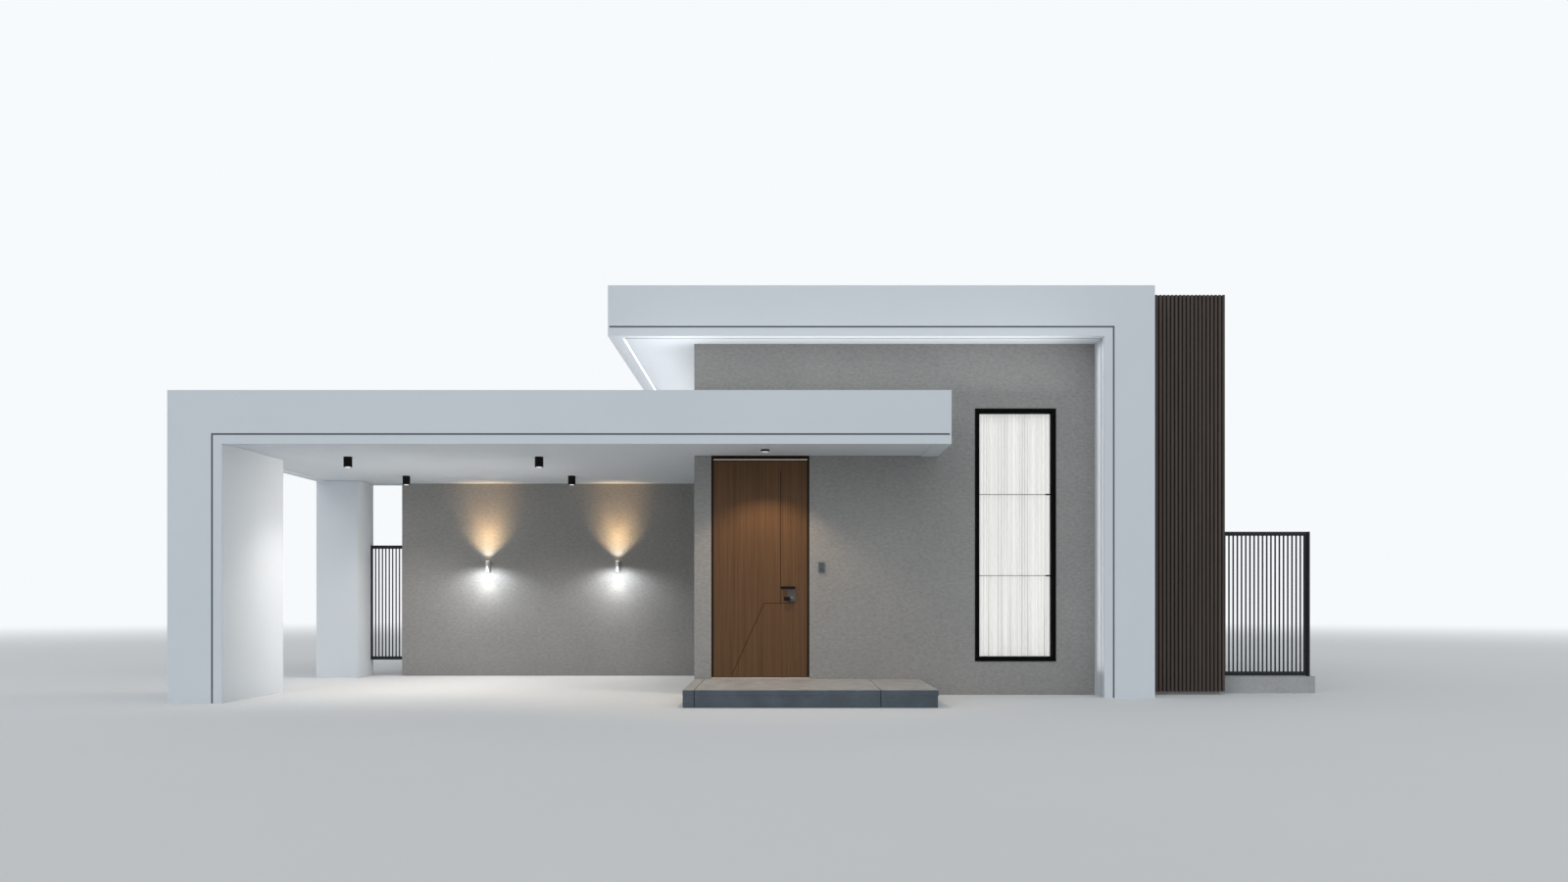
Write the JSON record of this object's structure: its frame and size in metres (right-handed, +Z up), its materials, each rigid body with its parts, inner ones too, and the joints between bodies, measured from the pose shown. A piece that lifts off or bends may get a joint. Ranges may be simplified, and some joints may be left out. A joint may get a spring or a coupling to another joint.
{
  "type": "bungalow",
  "caption": "Flat-roofed single-storey house with a white framed carport, plaster walls, a wooden entrance door, slat cladding and a barred side gate.",
  "frame": {"origin": "on the ground, at the middle of the plan's bounding box", "axes": "+Z up, the street front faces -Y, +X runs along the front towards the side gate"},
  "size_m": [12.88, 10.82, 4.657],
  "materials": {
    "white_render": "smooth matte render",
    "grey_plaster": "trowelled matte plaster",
    "floor_screed": "matte screed",
    "slat_wood": "dark stained slats",
    "step_stone": "honed grey stone",
    "kerb_concrete": "plain concrete",
    "door_wood": "satin walnut veneer",
    "door_frame_paint": "satin brown paint",
    "hinge_steel": "brushed",
    "black_metal": "satin black",
    "lock_metal": "dark brushed",
    "panel_plastic": "satin blue grey",
    "window_aluminium": "black powder coat",
    "window_glass": "clear",
    "curtain_fabric": "sheer off-white",
    "rail_aluminium": "satin",
    "wall_light_metal": "satin grey",
    "gate_steel": "satin dark grey"
  },
  "bodies": {
    "root": {"carport_leg": "white_render", "rear_column": "white_render", "carport_roof": "white_render", "carport_back_wall": "grey_plaster", "porch_canopy": "white_render", "wing_side_wall": "grey_plaster", "wing_rear_wall": "grey_plaster", "wing_roof": "white_render", "wing_floor": "floor_screed", "entrance_pier": "grey_plaster", "front_wall_over_door": "grey_plaster", "front_wall": "grey_plaster", "left_wall": "grey_plaster", "upper_side_wall": "grey_plaster", "right_wall": "grey_plaster", "rear_wall": "grey_plaster", "corner_wall": "grey_plaster", "house_floor": "floor_screed", "slat_cladding_front": "slat_wood", "slat_cladding_side": "slat_wood", "tall_leg": "white_render", "upper_canopy": "white_render", "high_roof": "white_render", "door_threshold": "step_stone", "door_jambs": "door_frame_paint", "door_head": "door_frame_paint", "door_hinges": "hinge_steel", "door_panel": "panel_plastic", "window_frames": "window_aluminium", "window_panes": "window_glass", "curtain": "curtain_fabric", "curtain_rail": "rail_aluminium", "step_plinth": "step_stone", "step_slabs": "step_stone", "ceiling_spots": "black_metal", "porch_light": "black_metal", "wall_lights": "wall_light_metal", "bar_screen": "gate_steel", "gate_kerb": "kerb_concrete", "gate_posts": "gate_steel"},
    "door": {"door_leaf": "door_wood", "door_hinge_straps": "hinge_steel", "door_handle": "black_metal", "door_lock": "lock_metal"},
    "gate": {"gate_leaf": "gate_steel"}
  },
  "joints": [
    {"name": "door_hinge", "type": "hinge", "parent": "root", "child": "door", "pos_m": [-0.6715, -3.515, 1.469], "axis": [0, 0, 1], "range_deg": [0, 85]},
    {"name": "gate_hinge", "type": "hinge", "parent": "root", "child": "gate", "pos_m": [5.325, -3.24, 1.05], "axis": [0, 0, 1], "range_deg": [0, 90]}
  ]
}
